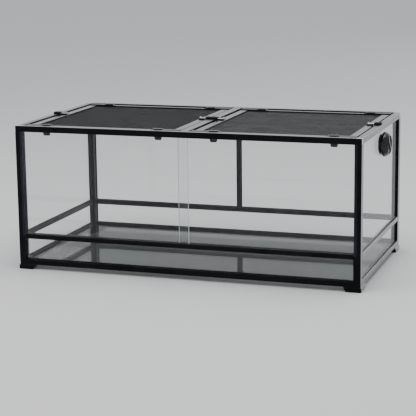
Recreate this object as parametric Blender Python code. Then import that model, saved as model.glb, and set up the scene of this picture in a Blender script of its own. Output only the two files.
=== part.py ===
"""Glass enclosure with sliding front doors, two lift-off mesh lids and a rotary side vent.

Metres, +Z up. The origin is on the ground at the centre of the footprint, the
doors face -Y and the vent is on the +X side.
"""
import math

import bmesh
import bpy
from mathutils import Matrix, Vector

# Overall size, measured over the posts and from the ground to the top rails.
WIDTH = 1.214
DEPTH = 0.650
HEIGHT = 0.505
GAP = 0.0003

# Feet and bottom frame.
FOOT_FLARE = 0.003
FOOT_LENGTH_X = 0.058
FOOT_LENGTH_Y = 0.072
FOOT_LEG = 0.028
BASE_TOP = 0.036
BASE_RAIL_LOW = 0.019
BASE_WALL = 0.016
SEAT_REACH = 0.030
SEAT_TOP = 0.0237
FLOOR_LOW = 0.0240
FLOOR_TOP = 0.0290

# Posts and jambs.
POST_X = 0.024
POST_Y = 0.028
POST_FRONT_STRIP = 0.014
POST_NOTCH_Z = 0.1192
CENTRE_POST = 0.008

# Mid rails.
MID_LOW = 0.110
MID_TOP = 0.126
MID_THICK = 0.016
MID_FRONT_THICK = 0.026

# Top frame.
RAIL_UNDER = 0.4845
RAIL_WALL = 0.020
LEDGE_REACH = 0.036
LEDGE_UNDER = 0.488
LEDGE_TOP = 0.494
CORNER = 0.036
BEAM_HALF = 0.014
BEAM_FLANGE = 0.030

# Glass.
GLASS = 0.005
PANE_INSET = 0.006
LOWER_FRONT_INSET = 0.008
DOOR_FRONT_V = 0.0058
DOOR_REAR_V = 0.0152
DOOR_LOW = 0.1201
DOOR_TOP = 0.4889
DOOR_EDGE_U = 0.0185
DOOR_OVERLAP_HALF = 0.019

# Lids.
LID_EDGE_U = 0.030
LID_EDGE_BEAM = 0.024
LID_STRIP = 0.025
LID_LOW = 0.4943
LID_TOP = 0.502
LIP = 0.003
LIP_TOP = 0.4962
MESH_LOW = 0.4965
MESH_TOP = 0.4977
JOINER_OUT = 0.003
JOINER_TOP = 0.5047

# Turn knobs.
KNOB_U = 0.100
KNOB_BEAM = 0.098
KNOB_V = 0.042
KNOB_HALF_X = 0.017
KNOB_HALF_Y = 0.0134
KNOB_TOP = 0.5072
KNOB_SHAFT_R = 0.0037
KNOB_HOLE_R = 0.0040
LUG_TOP = 0.4877
LUG_LOW = 0.4685

# Slide bolts, keepers and their rivets.
BOLT_HALF = 0.007
BOLT_LOW = 0.5058
BOLT_TOP = 0.5083
BOLT_TRAVEL = 0.007
KEEPER_HALF = 0.012
KEEPER_TOP = 0.5115
RIVET_T = 0.0075
RIVET_R = 0.0018
RIVET_HEAD_R = 0.0028
BOLT_TIP = -0.0025
BOLT_END = 0.0205
KEEPER_REACH = 0.027
KEEPER_BEAM = 0.021

# Rotary vent on the right pane.
VENT_V = 0.3750
VENT_Z = 0.4300
VENT_SEGMENTS = 48
VENT_HOLE_R = 0.0315
VENT_SLOTS = 6
VENT_SLOT_ANGLE = math.radians(27.0)

FRONT, BACK, LEFT, RIGHT = "front", "back", "left", "right"
X_SIGN = {LEFT: -1.0, RIGHT: 1.0}
Y_SIGN = {FRONT: -1.0, BACK: 1.0}


def clear_scene():
    for old in list(bpy.data.objects):
        bpy.data.objects.remove(old, do_unlink=True)


def make_material(name, colour, roughness, metallic=0.0, alpha=1.0):
    material = bpy.data.materials.new(name)
    material.use_nodes = True
    shader = material.node_tree.nodes["Principled BSDF"]
    shader.inputs["Base Color"].default_value = (*colour, 1.0)
    shader.inputs["Roughness"].default_value = roughness
    shader.inputs["Metallic"].default_value = metallic
    shader.inputs["Alpha"].default_value = alpha
    material.diffuse_color = (*colour, alpha)
    return material


def side_point(side, s, d, z):
    """A point s along a side of the frame, d in from its outer face."""
    if side in Y_SIGN:
        return Vector((s, Y_SIGN[side] * (DEPTH / 2 - d), z))
    return Vector((X_SIGN[side] * (WIDTH / 2 - d), s, z))


def corner_point(end_x, end_y, u, v, z):
    """A point u and v in from the two outer faces that meet at a corner."""
    return Vector((X_SIGN[end_x] * (WIDTH / 2 - u), Y_SIGN[end_y] * (DEPTH / 2 - v), z))


def loft(rings):
    """A closed body through rings of the same number of points."""
    body = bmesh.new()
    loops = [[body.verts.new(p) for p in ring] for ring in rings]
    count = len(loops[0])
    body.faces.new(loops[0])
    body.faces.new(loops[-1])
    for low, high in zip(loops, loops[1:]):
        for i in range(count):
            j = (i + 1) % count
            body.faces.new((low[i], low[j], high[j], high[i]))
    bmesh.ops.recalc_face_normals(body, faces=body.faces)
    return body


def side_run(side, profile, start, end):
    """A profile of (d, z) points run along one side of the frame."""
    return loft([[side_point(side, s, d, z) for d, z in profile] for s in (start, end)])


def box(low, high):
    (x0, y0, z0), (x1, y1, z1) = low, high
    outline = [(x0, y0), (x1, y0), (x1, y1), (x0, y1)]
    return loft([[Vector((x, y, z)) for x, y in outline] for z in (z0, z1)])


def upright(outline, low, high):
    """An outline of (x, y) points raised from low to high."""
    return loft([[Vector((x, y, z)) for x, y in outline] for z in (low, high)])


def rectangle(d0, z0, d1, z1):
    return [(d0, z0), (d1, z0), (d1, z1), (d0, z1)]


def turned(profile, segments):
    """A closed profile of (r, h) points turned about Z; r = 0 closes on the axis."""
    body = bmesh.new()
    rows = []
    for r, h in profile:
        if r == 0.0:
            rows.append([body.verts.new((0.0, 0.0, h))] * segments)
            continue
        row = []
        for i in range(segments):
            angle = 2.0 * math.pi * i / segments
            row.append(body.verts.new((r * math.cos(angle), r * math.sin(angle), h)))
        rows.append(row)
    for k in range(len(rows)):
        one, two = rows[k], rows[(k + 1) % len(rows)]
        if one[0] is one[1] and two[0] is two[1]:
            continue
        for i in range(segments):
            j = (i + 1) % segments
            corners = []
            for vert in (one[i], one[j], two[j], two[i]):
                if vert not in corners:
                    corners.append(vert)
            body.faces.new(corners)
    bmesh.ops.recalc_face_normals(body, faces=body.faces)
    return body


def moved(body, matrix):
    bmesh.ops.transform(body, matrix=matrix, verts=body.verts)
    bmesh.ops.recalc_face_normals(body, faces=body.faces)
    return body


def empty(name, location, parent=None):
    holder = bpy.data.objects.new(name, None)
    holder.empty_display_size = 0.05
    bpy.context.collection.objects.link(holder)
    holder.location = location
    attach(holder, parent)
    return holder


def attach(child, parent):
    """Parents an object and keeps it where it is in the world."""
    if parent is not None:
        child.parent = parent
        child.location = child.location - world_location(parent)


def world_location(item):
    place = Vector((0.0, 0.0, 0.0))
    while item is not None:
        place += item.location
        item = item.parent
    return place


def piece(name, body, material, parent, origin=None, smooth=False):
    """An object from a body in world coordinates, with its origin where asked."""
    if origin is None:
        low = Vector([min(v.co[k] for v in body.verts) for k in range(3)])
        high = Vector([max(v.co[k] for v in body.verts) for k in range(3)])
        origin = (low + high) / 2
    origin = Vector(origin)
    bmesh.ops.translate(body, vec=-origin, verts=body.verts)
    mesh = bpy.data.meshes.new(name)
    body.to_mesh(mesh)
    body.free()
    if smooth:
        mesh.shade_smooth()
        mesh.set_sharp_from_angle(angle=math.radians(30.0))
    item = bpy.data.objects.new(name, mesh)
    bpy.context.collection.objects.link(item)
    item.data.materials.append(material)
    item.location = origin
    attach(item, parent)
    return item


def combine(item, body, operation):
    """A live Boolean with a hidden tool that moves with the item."""
    tool_name = f"{item.name}_tool_{len(item.modifiers)}"
    origin = world_location(item)
    bmesh.ops.translate(body, vec=-origin, verts=body.verts)
    mesh = bpy.data.meshes.new(tool_name)
    body.to_mesh(mesh)
    body.free()
    tool = bpy.data.objects.new(tool_name, mesh)
    bpy.context.collection.objects.link(tool)
    tool.parent = item
    tool.hide_render = True
    tool.display_type = "WIRE"
    modifier = item.modifiers.new(tool_name, "BOOLEAN")
    modifier.operation = operation
    modifier.solver = "EXACT"
    modifier.object = tool


def cut(item, body):
    combine(item, body, "DIFFERENCE")


def add(item, body):
    combine(item, body, "UNION")


def soften(item, width):
    """A small chamfer on the sharp edges."""
    modifier = item.modifiers.new("edge", "BEVEL")
    modifier.width = width
    modifier.segments = 1
    modifier.limit_method = "ANGLE"
    modifier.angle_limit = math.radians(40.0)


def build_feet(material, parent):
    levels = [
        (0.000, FOOT_FLARE, 0.008, 0.010),
        (0.012, FOOT_FLARE, 0.002, 0.002),
        (0.020, 0.0, 0.0, 0.0),
        (BASE_TOP, 0.0, 0.0, 0.0),
    ]
    for end_y in (FRONT, BACK):
        for end_x in (LEFT, RIGHT):
            rings = []
            for z, flare, short_x, short_y in levels:
                end_u = FOOT_LENGTH_X - short_x
                end_v = FOOT_LENGTH_Y - short_y
                outline = [
                    (-flare, -flare),
                    (end_u, -flare),
                    (end_u, FOOT_LEG),
                    (FOOT_LEG, FOOT_LEG),
                    (FOOT_LEG, end_v),
                    (-flare, end_v),
                ]
                rings.append([corner_point(end_x, end_y, u, v, z) for u, v in outline])
            foot = piece(f"foot_{end_y}_{end_x}", loft(rings), material, parent)
            wall = BASE_WALL + GAP
            seat = [
                (wall, POST_Y + GAP),
                (POST_X + GAP, POST_Y + GAP),
                (POST_X + GAP, wall),
                (0.080, wall),
                (0.080, 0.090),
                (wall, 0.090),
            ]
            cut(foot, loft([[corner_point(end_x, end_y, u, v, z) for u, v in seat]
                            for z in (SEAT_TOP, 0.050)]))


def build_base(material, glass, parent):
    profile = [
        (0.0, BASE_RAIL_LOW),
        (0.0, BASE_TOP),
        (BASE_WALL, BASE_TOP),
        (BASE_WALL, SEAT_TOP),
        (SEAT_REACH, SEAT_TOP),
        (SEAT_REACH, BASE_RAIL_LOW),
    ]
    lip = profile + [(0.0065, BASE_RAIL_LOW), (0.0065, 0.0165), (0.0010, 0.0165), (0.0010, BASE_RAIL_LOW)]
    for side in (FRONT, BACK):
        end = WIDTH / 2 - FOOT_LENGTH_X - GAP
        piece(f"bottom_rail_{side}", side_run(side, lip, -end, end), material, parent)
    for side in (LEFT, RIGHT):
        end = DEPTH / 2 - FOOT_LENGTH_Y - GAP
        piece(f"bottom_rail_{side}", side_run(side, profile, -end, end), material, parent)
    edge = BASE_WALL + 2 * GAP
    notch_u = POST_X + 2 * GAP
    notch_v = POST_Y + 2 * GAP
    outline = []
    for end_x, end_y in ((LEFT, FRONT), (RIGHT, FRONT), (RIGHT, BACK), (LEFT, BACK)):
        steps = [(edge, notch_v), (notch_u, notch_v), (notch_u, edge)]
        if (end_x == LEFT) != (end_y == FRONT):
            steps.reverse()
        outline += [corner_point(end_x, end_y, u, v, 0.0).xy for u, v in steps]
    piece("floor_pane", upright(outline, FLOOR_LOW, FLOOR_TOP), glass, parent)


def build_posts(material, jamb_material, parent):
    low = BASE_TOP + GAP
    high = RAIL_UNDER - GAP
    front = [
        (0.0, low),
        (POST_X, low),
        (POST_X, POST_NOTCH_Z),
        (POST_FRONT_STRIP, POST_NOTCH_Z),
        (POST_FRONT_STRIP, high),
        (0.0, high),
    ]
    back = rectangle(0.0, low, POST_X, high)
    for end_x in (LEFT, RIGHT):
        for end_y, outline in ((FRONT, front), (BACK, back)):
            rings = [[corner_point(end_x, end_y, u, v, z) for u, z in outline]
                     for v in (0.0, POST_Y)]
            post = piece(f"post_{end_y}_{end_x}", loft(rings), material, parent)
            if end_y == BACK:
                soften(post, 0.0008)
    groove = POST_FRONT_STRIP + 0.004
    comb = [
        (POST_FRONT_STRIP + GAP, 0.0010),
        (POST_X, 0.0010),
        (POST_X, 0.0053),
        (groove, 0.0053),
        (groove, 0.0113),
        (POST_X, 0.0113),
        (POST_X, 0.0147),
        (groove, 0.0147),
        (groove, 0.0207),
        (POST_X, 0.0207),
        (POST_X, 0.0270),
        (POST_FRONT_STRIP + GAP, 0.0270),
    ]
    for end_x in (LEFT, RIGHT):
        rings = [[corner_point(end_x, FRONT, u, v, z) for u, v in comb]
                 for z in (POST_NOTCH_Z + GAP, high)]
        piece(f"jamb_{end_x}", loft(rings), jamb_material, parent)
    centre = side_run(BACK, rectangle(0.002, MID_TOP + GAP, 0.018, high), -CENTRE_POST, CENTRE_POST)
    soften(piece("post_back_centre", centre, material, parent), 0.0008)


def build_mid_rails(material, parent):
    end = WIDTH / 2 - POST_X - GAP
    front = [
        (0.0, MID_LOW),
        (MID_FRONT_THICK, MID_LOW),
        (MID_FRONT_THICK, MID_TOP),
        (0.023, MID_TOP),
        (0.023, 0.117),
        (0.003, 0.117),
        (0.003, MID_TOP),
        (0.0, MID_TOP),
    ]
    piece("mid_rail_front", side_run(FRONT, front, -end, end), material, parent)
    plain = rectangle(0.0, MID_LOW, MID_THICK, MID_TOP)
    soften(piece("mid_rail_back", side_run(BACK, plain, -end, end), material, parent), 0.0008)
    end = DEPTH / 2 - POST_Y - GAP
    for side in (LEFT, RIGHT):
        rail = piece(f"mid_rail_{side}", side_run(side, plain, -end, end), material, parent)
        soften(rail, 0.0008)


def build_tracks(material, parent):
    """Twin-groove liners that the two doors run in, open up and open down."""
    floor = 0.1173 + 0.0025
    lower = [
        (0.0033, 0.1173),
        (0.0227, 0.1173),
        (0.0227, MID_TOP),
        (0.0207, MID_TOP),
        (0.0207, floor),
        (0.0147, floor),
        (0.0147, MID_TOP),
        (0.0113, MID_TOP),
        (0.0113, floor),
        (0.0053, floor),
        (0.0053, MID_TOP),
        (0.0033, MID_TOP),
    ]
    end = WIDTH / 2 - POST_X - GAP
    piece("door_track_lower", side_run(FRONT, lower, -end, end), material, parent)
    roof = 0.4897
    upper = [
        (0.0033, RAIL_UNDER),
        (0.0053, RAIL_UNDER),
        (0.0053, roof),
        (0.0113, roof),
        (0.0113, RAIL_UNDER),
        (0.0147, RAIL_UNDER),
        (0.0147, roof),
        (0.0207, roof),
        (0.0207, RAIL_UNDER),
        (0.0227, RAIL_UNDER),
        (0.0227, 0.4922),
        (0.0033, 0.4922),
    ]
    end = WIDTH / 2 - CORNER - GAP
    piece("door_track_upper", side_run(FRONT, upper, -end, end), material, parent)


def build_panes(glass, parent):
    low = BASE_TOP + GAP
    high = MID_LOW - GAP
    end_x = WIDTH / 2 - POST_X - GAP
    end_y = DEPTH / 2 - POST_Y - GAP
    d = LOWER_FRONT_INSET
    body = side_run(FRONT, rectangle(d, low, d + GLASS, high), -end_x, end_x)
    piece("lower_pane_front", body, glass, parent)
    d = PANE_INSET
    body = side_run(BACK, rectangle(d, low, d + GLASS, high), -end_x, end_x)
    piece("lower_pane_back", body, glass, parent)
    tall = rectangle(d, MID_TOP + GAP, d + GLASS, RAIL_UNDER - GAP)
    for side in (LEFT, RIGHT):
        body = side_run(side, rectangle(d, low, d + GLASS, high), -end_y, end_y)
        piece(f"lower_pane_{side}", body, glass, parent)
        pane = piece(f"side_pane_{side}", side_run(side, tall, -end_y, end_y), glass, parent)
        if side == RIGHT:
            hole = turned([(0.0, -0.020), (VENT_HOLE_R, -0.020), (VENT_HOLE_R, 0.020), (0.0, 0.020)],
                          VENT_SEGMENTS)
            cut(pane, moved(hole, vent_matrix()))
    near = CENTRE_POST + GAP
    piece("back_pane_left", side_run(BACK, tall, -end_x, -near), glass, parent)
    piece("back_pane_right", side_run(BACK, tall, near, end_x), glass, parent)


def vent_matrix():
    """Turns a shape made about Z so that its axis is +X at the vent's centre."""
    place = Vector((WIDTH / 2 - PANE_INSET, VENT_V - DEPTH / 2, VENT_Z))
    return Matrix.Translation(place) @ Matrix.Rotation(math.radians(90.0), 4, "Y")


def build_top(material, parent):
    front = [
        (0.0, RAIL_UNDER),
        (0.0, HEIGHT),
        (RAIL_WALL, HEIGHT),
        (RAIL_WALL, LEDGE_TOP),
        (LEDGE_REACH, LEDGE_TOP),
        (LEDGE_REACH, LEDGE_UNDER),
        (0.026, LEDGE_UNDER),
        (0.026, RAIL_UNDER),
        (0.023, RAIL_UNDER),
        (0.023, 0.4925),
        (0.003, 0.4925),
        (0.003, RAIL_UNDER),
    ]
    plain = front[:6] + [(RAIL_WALL, LEDGE_UNDER), (RAIL_WALL, RAIL_UNDER)]
    end = WIDTH / 2 - CORNER - GAP
    piece("top_rail_front", side_run(FRONT, front, -end, end), material, parent)
    piece("top_rail_back", side_run(BACK, plain, -end, end), material, parent)
    end = DEPTH / 2 - CORNER - GAP
    for side in (LEFT, RIGHT):
        rail = piece(f"top_rail_{side}", side_run(side, plain, -end, end), material, parent)
        block = rectangle(0.003, HEIGHT - 0.0005, KEEPER_REACH, KEEPER_TOP)
        add(rail, side_run(side, block, -KEEPER_HALF, KEEPER_HALF))
        tunnel = rectangle(0.0190, HEIGHT + GAP, 0.0300, BOLT_TOP + 0.0005)
        cut(rail, side_run(side, tunnel, -BOLT_HALF - 0.0005, BOLT_HALF + 0.0005))
    for end_y in (FRONT, BACK):
        for end_x in (LEFT, RIGHT):
            outline = rectangle(0.0, 0.0, CORNER, CORNER)
            body = loft([[corner_point(end_x, end_y, u, v, z) for u, v in outline]
                         for z in (RAIL_UNDER, HEIGHT)])
            corner = piece(f"top_corner_{end_y}_{end_x}", body, material, parent)
            pocket = rectangle(RAIL_WALL, RAIL_WALL, 0.050, 0.050)
            cut(corner, loft([[corner_point(end_x, end_y, u, v, z) for u, v in pocket]
                              for z in (LEDGE_TOP, 0.520)]))
            if end_y == FRONT:
                slot = rectangle(0.0180, 0.0048, 0.050, 0.0212)
                cut(corner, loft([[corner_point(end_x, end_y, u, v, z) for u, v in slot]
                                  for z in (0.470, 0.4902)]))
    build_beam(material, parent)


def build_beam(material, parent):
    """The bar between the lids: a web, its flanges and a double keeper."""
    over = DEPTH / 2 - RAIL_WALL - GAP
    under = DEPTH / 2 - LEDGE_REACH - GAP
    step = LEDGE_TOP + GAP
    outline = [
        (-over, step),
        (-over, HEIGHT),
        (over, HEIGHT),
        (over, step),
        (under, step),
        (under, RAIL_UNDER),
        (-under, RAIL_UNDER),
        (-under, step),
    ]
    web = loft([[Vector((x, y, z)) for y, z in outline] for x in (-BEAM_HALF, BEAM_HALF)])
    beam = piece("crossbeam", web, material, parent)
    add(beam, box((-BEAM_FLANGE, -under, LEDGE_UNDER), (BEAM_FLANGE, under, LEDGE_TOP)))
    half = KEEPER_BEAM
    add(beam, box((-half, -KEEPER_HALF, HEIGHT - 0.0005), (half, KEEPER_HALF, KEEPER_TOP)))
    wide = BOLT_HALF + 0.0005
    for sign in (-1.0, 1.0):
        near, far = sorted((sign * 0.0130, sign * 0.0240))
        cut(beam, box((near, -wide, HEIGHT + GAP), (far, wide, BOLT_TOP + 0.0005)))


def build_vent(material, dial_material, parent):
    shell = [
        (0.0, 0.0142),
        (0.0280, 0.0142),
        (0.0280, -0.0125),
        (0.0310, -0.0125),
        (0.0310, GAP),
        (0.0425, GAP),
        (0.0425, 0.0030),
        (0.0410, 0.0045),
        (0.0398, 0.0110),
        (0.0383, 0.0165),
        (0.0360, 0.0208),
        (0.0335, 0.0232),
        (0.0310, 0.0214),
        (0.0310, 0.0203),
        (0.0330, 0.0203),
        (0.0330, 0.0172),
        (0.0, 0.0172),
    ]
    place = vent_matrix()
    centre = place.translation
    body = piece("vent_body", moved(turned(shell, VENT_SEGMENTS), place), material, parent, centre, True)
    cut(body, moved(vent_slots(0.0125, 0.0187), place))
    ring = [(0.0314, -0.0105), (0.0365, -0.0105), (0.0365, -0.0053), (0.0314, -0.0053)]
    piece("vent_nut", moved(turned(ring, VENT_SEGMENTS), place), material, parent, centre, True)
    disc = [(0.0, 0.0175), (0.0326, 0.0175), (0.0326, 0.0200), (0.0, 0.0200)]
    dial = piece("vent_shutter", moved(turned(disc, VENT_SEGMENTS), place), dial_material, parent, centre, True)
    cut(dial, moved(vent_slots(0.0162, 0.0212), place))
    bar = box((-0.0280, -0.0034, 0.0192), (0.0280, 0.0034, 0.0238))
    bar = moved(bar, Matrix.Rotation(math.radians(45.0), 4, "Z"))
    add(dial, moved(bar, place))


def vent_slots(low, high):
    """Six ring sectors between radii 12 and 26.5 mm, as one cutter."""
    body = bmesh.new()
    for index in range(VENT_SLOTS):
        middle = math.radians(15.0 + 60.0 * index)
        angles = [middle + VENT_SLOT_ANGLE * (i / 6.0 - 0.5) for i in range(7)]
        outline = [(0.0265 * math.cos(a), 0.0265 * math.sin(a)) for a in angles]
        outline += [(0.0120 * math.cos(a), 0.0120 * math.sin(a)) for a in reversed(angles)]
        loops = [[body.verts.new((x, y, z)) for x, y in outline] for z in (low, high)]
        body.faces.new(loops[0])
        body.faces.new(loops[1])
        for i in range(len(outline)):
            j = (i + 1) % len(outline)
            body.faces.new((loops[0][i], loops[0][j], loops[1][j], loops[1][i]))
    bmesh.ops.recalc_face_normals(body, faces=body.faces)
    return body


def build_doors(glass, parent):
    """Two frameless glass doors, the left one in the front groove."""
    far = WIDTH / 2 - DOOR_EDGE_U
    spans = {
        LEFT: (-far, DOOR_OVERLAP_HALF, DOOR_FRONT_V),
        RIGHT: (-DOOR_OVERLAP_HALF, far, DOOR_REAR_V),
    }
    for side, (start, end, v) in spans.items():
        body = side_run(FRONT, rectangle(v, DOOR_LOW, v + GLASS, DOOR_TOP), start, end)
        soften(piece(f"door_{side}", body, glass, parent), 0.0006)


def lid_x(side, u):
    """World x at u in from the outer face on one side."""
    return X_SIGN[side] * (WIDTH / 2 - u)


def ordered_box(x0, x1, y0, y1, z0, z1):
    return box((min(x0, x1), min(y0, y1), z0), (max(x0, x1), max(y0, y1), z1))


def build_lid(side, material, mesh_material, knob_material, bolt_material, root):
    sign = X_SIGN[side]
    outer = lid_x(side, LID_EDGE_U)
    inner = sign * LID_EDGE_BEAM
    edge_y = DEPTH / 2 - LID_EDGE_U
    holder = empty(f"lid_{side}", ((outer + inner) / 2, 0.0, LID_LOW), root)

    frame = piece(f"lid_frame_{side}", ordered_box(outer, inner, -edge_y, edge_y, LID_LOW, LID_TOP),
                  material, holder, holder_origin(holder))
    knob_spots = {"outer": sign * (WIDTH / 2 - KNOB_U), "inner": sign * KNOB_BEAM}
    for end_y in (FRONT, BACK):
        y0 = Y_SIGN[end_y] * (edge_y + JOINER_OUT)
        y1 = Y_SIGN[end_y] * (edge_y - LID_STRIP)
        add(frame, ordered_box(outer + sign * JOINER_OUT, knob_spots["outer"] - sign * 0.021,
                               y0, y1, LID_LOW, JOINER_TOP))
        add(frame, ordered_box(inner - sign * JOINER_OUT, knob_spots["inner"] + sign * 0.021,
                               y0, y1, LID_LOW, JOINER_TOP))
    seats = ((outer, -sign), (inner, sign))
    for edge, inward in seats:
        add(frame, ordered_box(edge + inward * 0.001, edge + inward * 0.024, -0.008, 0.008,
                               LID_LOW + 0.004, BOLT_LOW - GAP))
        rivet = turned([(0.0, 0.5045), (RIVET_R, 0.5045), (RIVET_R, 0.5086), (RIVET_HEAD_R, 0.5086),
                        (RIVET_HEAD_R, 0.5094), (0.0020, 0.5100), (0.0, 0.5100)], 16)
        add(frame, moved(rivet, Matrix.Translation((edge + inward * RIVET_T, 0.0, 0.0))))
    hole_low = LIP_TOP
    x0 = outer - sign * LID_STRIP
    x1 = inner + sign * LID_STRIP
    y = edge_y - LID_STRIP
    cut(frame, ordered_box(x0, x1, -y, y, hole_low, 0.520))
    cut(frame, ordered_box(x0 - sign * LIP, x1 + sign * LIP, -y + LIP, y - LIP, 0.480, 0.500))
    for x in knob_spots.values():
        for end_y in (FRONT, BACK):
            spot = Vector((x, Y_SIGN[end_y] * (DEPTH / 2 - KNOB_V), 0.0))
            shaft = turned([(0.0, 0.480), (KNOB_HOLE_R, 0.480), (KNOB_HOLE_R, 0.520), (0.0, 0.520)], 24)
            cut(frame, moved(shaft, Matrix.Translation(spot)))

    panel = ordered_box(x0 - sign * GAP, x1 + sign * GAP, -y + GAP, y - GAP, MESH_LOW, MESH_TOP)
    piece(f"lid_mesh_{side}", panel, mesh_material, holder, holder_origin(holder))

    for place, x in knob_spots.items():
        for end_y in (FRONT, BACK):
            y_knob = Y_SIGN[end_y] * (DEPTH / 2 - KNOB_V)
            build_knob(f"knob_{side}_{end_y}_{place}", x, y_knob, knob_material, holder)
    for place, (edge, inward) in zip(("outer", "inner"), seats):
        build_bolt(f"bolt_{side}_{place}", edge, inward, bolt_material, holder)


def holder_origin(holder):
    return world_location(holder)


def build_knob(name, x, y, material, holder):
    """A flat oval turn plate with a recess, on a shaft that carries a long lug below the lid."""
    shaft = turned([(0.0, 0.4870), (KNOB_SHAFT_R, 0.4870), (KNOB_SHAFT_R, 0.5056), (0.0, 0.5056)], 24)
    place = Matrix.Translation((x, y, 0.0))
    knob = piece(name, moved(shaft, place), material, holder, (x, y, LUG_TOP), True)
    rings = []
    for z, short in ((JOINER_TOP + GAP, 0.0), (KNOB_TOP - 0.0008, 0.0), (KNOB_TOP, 0.0010)):
        rings.append(oval(x, y, KNOB_HALF_X - short, KNOB_HALF_Y - short, z))
    add(knob, loft(rings))
    levels = [(LUG_LOW, 0.0105, 0.0038), (LUG_LOW + 0.006, 0.0120, 0.0045), (LUG_TOP, 0.0120, 0.0045)]
    rings = []
    for z, a, b in levels:
        rings.append([Vector((x + sx * a, y + sy * b, z)) for sx, sy in ((-1, -1), (1, -1), (1, 1), (-1, 1))])
    add(knob, loft(rings))
    cut(knob, box((x - 0.0075, y - 0.0025, 0.5060), (x + 0.0075, y + 0.0025, 0.5200)))


def oval(x, y, half_x, half_y, z, count=32):
    angles = [2.0 * math.pi * i / count for i in range(count)]
    return [Vector((x + half_x * math.cos(a), y + half_y * math.sin(a), z)) for a in angles]


def build_bolt(name, edge, inward, material, holder):
    """A flat bolt with a rivet slot and a finger lip; it slides out into the keeper."""
    def at(t):
        return edge + inward * t

    plan = [(BOLT_TIP, -0.005), (BOLT_TIP + 0.002, -BOLT_HALF), (BOLT_END, -BOLT_HALF),
            (BOLT_END, BOLT_HALF), (BOLT_TIP + 0.002, BOLT_HALF), (BOLT_TIP, 0.005)]
    body = upright([(at(t), y) for t, y in plan], BOLT_LOW, BOLT_TOP)
    bolt = piece(name, body, material, holder, (at(RIVET_T), 0.0, BOLT_LOW))
    add(bolt, ordered_box(at(BOLT_END - 0.0025), at(BOLT_END), -BOLT_HALF, BOLT_HALF, BOLT_TOP - 0.001, 0.5115))
    cut(bolt, ordered_box(at(RIVET_T - 0.0021), at(RIVET_T + 0.0021 + BOLT_TRAVEL), -0.0021, 0.0021, 0.500, 0.520))


def main():
    clear_scene()
    frame_black = make_material("frame_black", (0.012, 0.013, 0.016), 0.38, 0.0)
    jamb_grey = make_material("jamb_grey", (0.030, 0.034, 0.045), 0.35, 0.0)
    track_black = make_material("track_black", (0.015, 0.015, 0.017), 0.45, 0.0)
    glass = make_material("clear_glass", (0.80, 0.88, 0.86), 0.03, 0.0, 0.22)
    mesh_grey = make_material("mesh_grey", (0.060, 0.061, 0.063), 0.55, 0.4)
    knob_black = make_material("knob_black", (0.014, 0.015, 0.017), 0.35, 0.0)
    bolt_grey = make_material("bolt_grey", (0.55, 0.56, 0.57), 0.30, 1.0)
    vent_black = make_material("vent_black", (0.015, 0.016, 0.018), 0.18, 0.0)
    dial_black = make_material("dial_black", (0.028, 0.030, 0.033), 0.22, 0.0)

    root = empty("enclosure", (0.0, 0.0, 0.0))
    build_feet(frame_black, root)
    build_base(frame_black, glass, root)
    build_posts(frame_black, jamb_grey, root)
    build_mid_rails(frame_black, root)
    build_tracks(track_black, root)
    build_panes(glass, root)
    build_top(frame_black, root)
    build_vent(vent_black, dial_black, root)
    build_doors(glass, root)
    for side in (LEFT, RIGHT):
        build_lid(side, frame_black, mesh_grey, knob_black, bolt_grey, root)


main()
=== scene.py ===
"""Glass enclosure with sliding front doors, two mesh lids and a rotary side vent.

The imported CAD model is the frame. Every visible piece is a surface worked out
here from outlines and turned profiles, and it rides on the body it belongs to.
Lengths are in metres, -Y is the front and +Z is up.
"""
import math

import bmesh
import bpy
import numpy as np
from mathutils import Matrix, Vector


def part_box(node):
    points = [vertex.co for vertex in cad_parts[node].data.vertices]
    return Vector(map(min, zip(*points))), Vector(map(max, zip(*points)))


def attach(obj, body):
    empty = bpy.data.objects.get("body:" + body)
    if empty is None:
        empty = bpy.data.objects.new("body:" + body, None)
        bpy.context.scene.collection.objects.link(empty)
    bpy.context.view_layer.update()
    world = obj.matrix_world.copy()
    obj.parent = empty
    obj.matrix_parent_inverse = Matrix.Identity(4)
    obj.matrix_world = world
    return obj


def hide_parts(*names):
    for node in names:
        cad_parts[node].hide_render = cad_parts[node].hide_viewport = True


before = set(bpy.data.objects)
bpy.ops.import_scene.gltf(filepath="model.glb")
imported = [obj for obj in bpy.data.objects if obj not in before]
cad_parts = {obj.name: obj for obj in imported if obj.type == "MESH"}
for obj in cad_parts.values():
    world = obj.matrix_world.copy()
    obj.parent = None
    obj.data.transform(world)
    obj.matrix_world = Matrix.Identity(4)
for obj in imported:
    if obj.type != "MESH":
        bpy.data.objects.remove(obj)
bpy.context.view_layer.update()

# --- Levels and reaches, read from the CAD nodes -----------------------------

HALF_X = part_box("post_front_right")[1].x
HALF_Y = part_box("post_back_right")[1].y
RAIL_UNDER, TOP = (corner.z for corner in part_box("top_rail_front"))
BASE_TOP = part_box("bottom_rail_left")[1].z
MID_LOW, MID_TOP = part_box("mid_rail_back")[0].z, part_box("mid_rail_back")[1].z
BOLT_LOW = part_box("bolt_right_outer")[0].z
BOLT_TOP = BOLT_LOW + 0.0025
VENT_Y = sum(corner.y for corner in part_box("vent_nut")) / 2
VENT_Z = sum(corner.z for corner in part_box("vent_nut")) / 2
KNOB_OUTER_X = sum(corner.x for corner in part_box("knob_right_front_outer")) / 2

# --- Widths and heights shared by several pieces -------------------------------

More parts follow.
